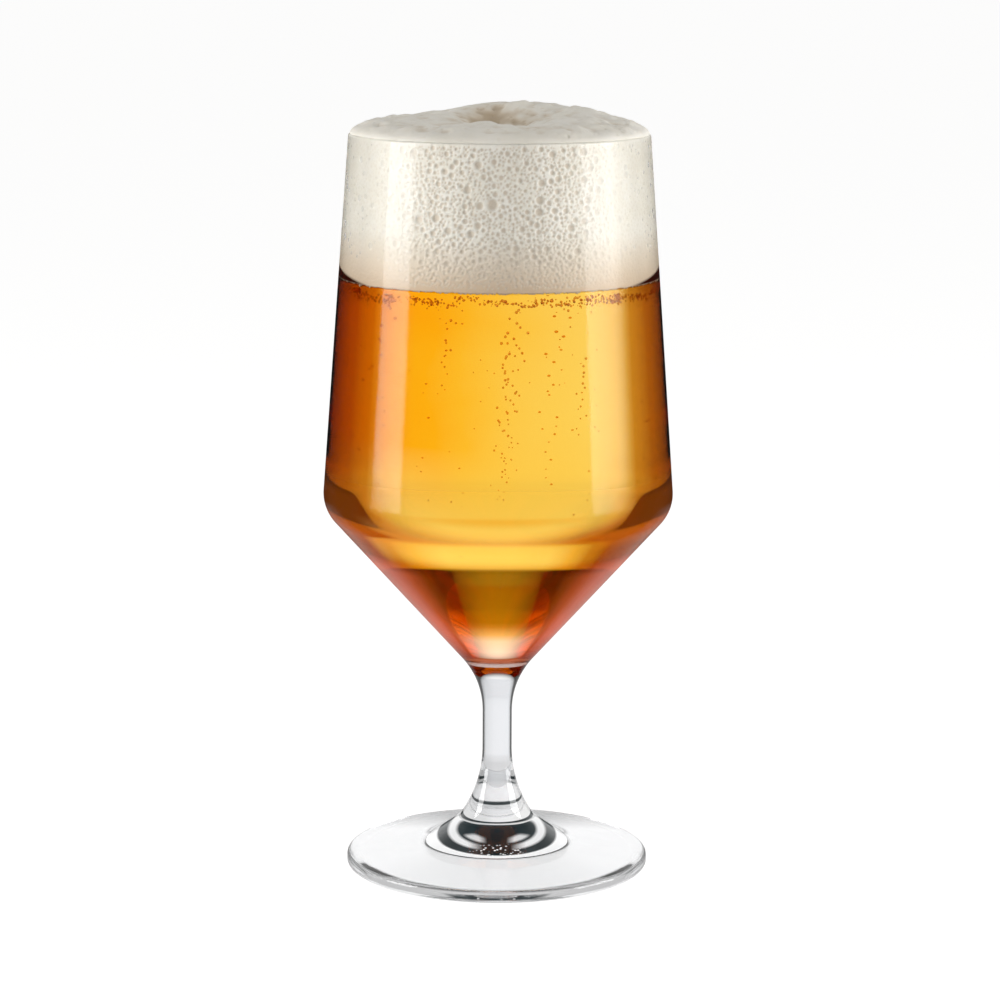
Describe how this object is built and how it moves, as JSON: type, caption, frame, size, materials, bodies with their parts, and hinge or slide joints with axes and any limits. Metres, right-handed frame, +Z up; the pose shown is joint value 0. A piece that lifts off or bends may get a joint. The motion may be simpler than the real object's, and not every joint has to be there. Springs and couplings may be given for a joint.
{
  "type": "footed pilsner glass",
  "caption": "Footed pilsner glass with a tall tapering bowl on a short stem and a round foot, filled with amber beer under a foam head.",
  "frame": {"origin": "on the glass's axis, in the plane of the table that the foot stands on", "axes": "+Z up along the axis of the glass, +Y away from the side that the picture was taken from, +X to that view's right"},
  "size_m": [0.0836, 0.0836, 0.1836],
  "materials": {
    "foot_glass": "polished",
    "stem_glass": "polished",
    "bowl_glass": "polished",
    "beer_liquid": "gloss",
    "foam": "matte"
  },
  "bodies": {
    "root": {"foot": "foot_glass", "stem": "stem_glass", "bowl": "bowl_glass", "beer": "beer_liquid", "foam_head": "foam"}
  },
  "joints": []
}
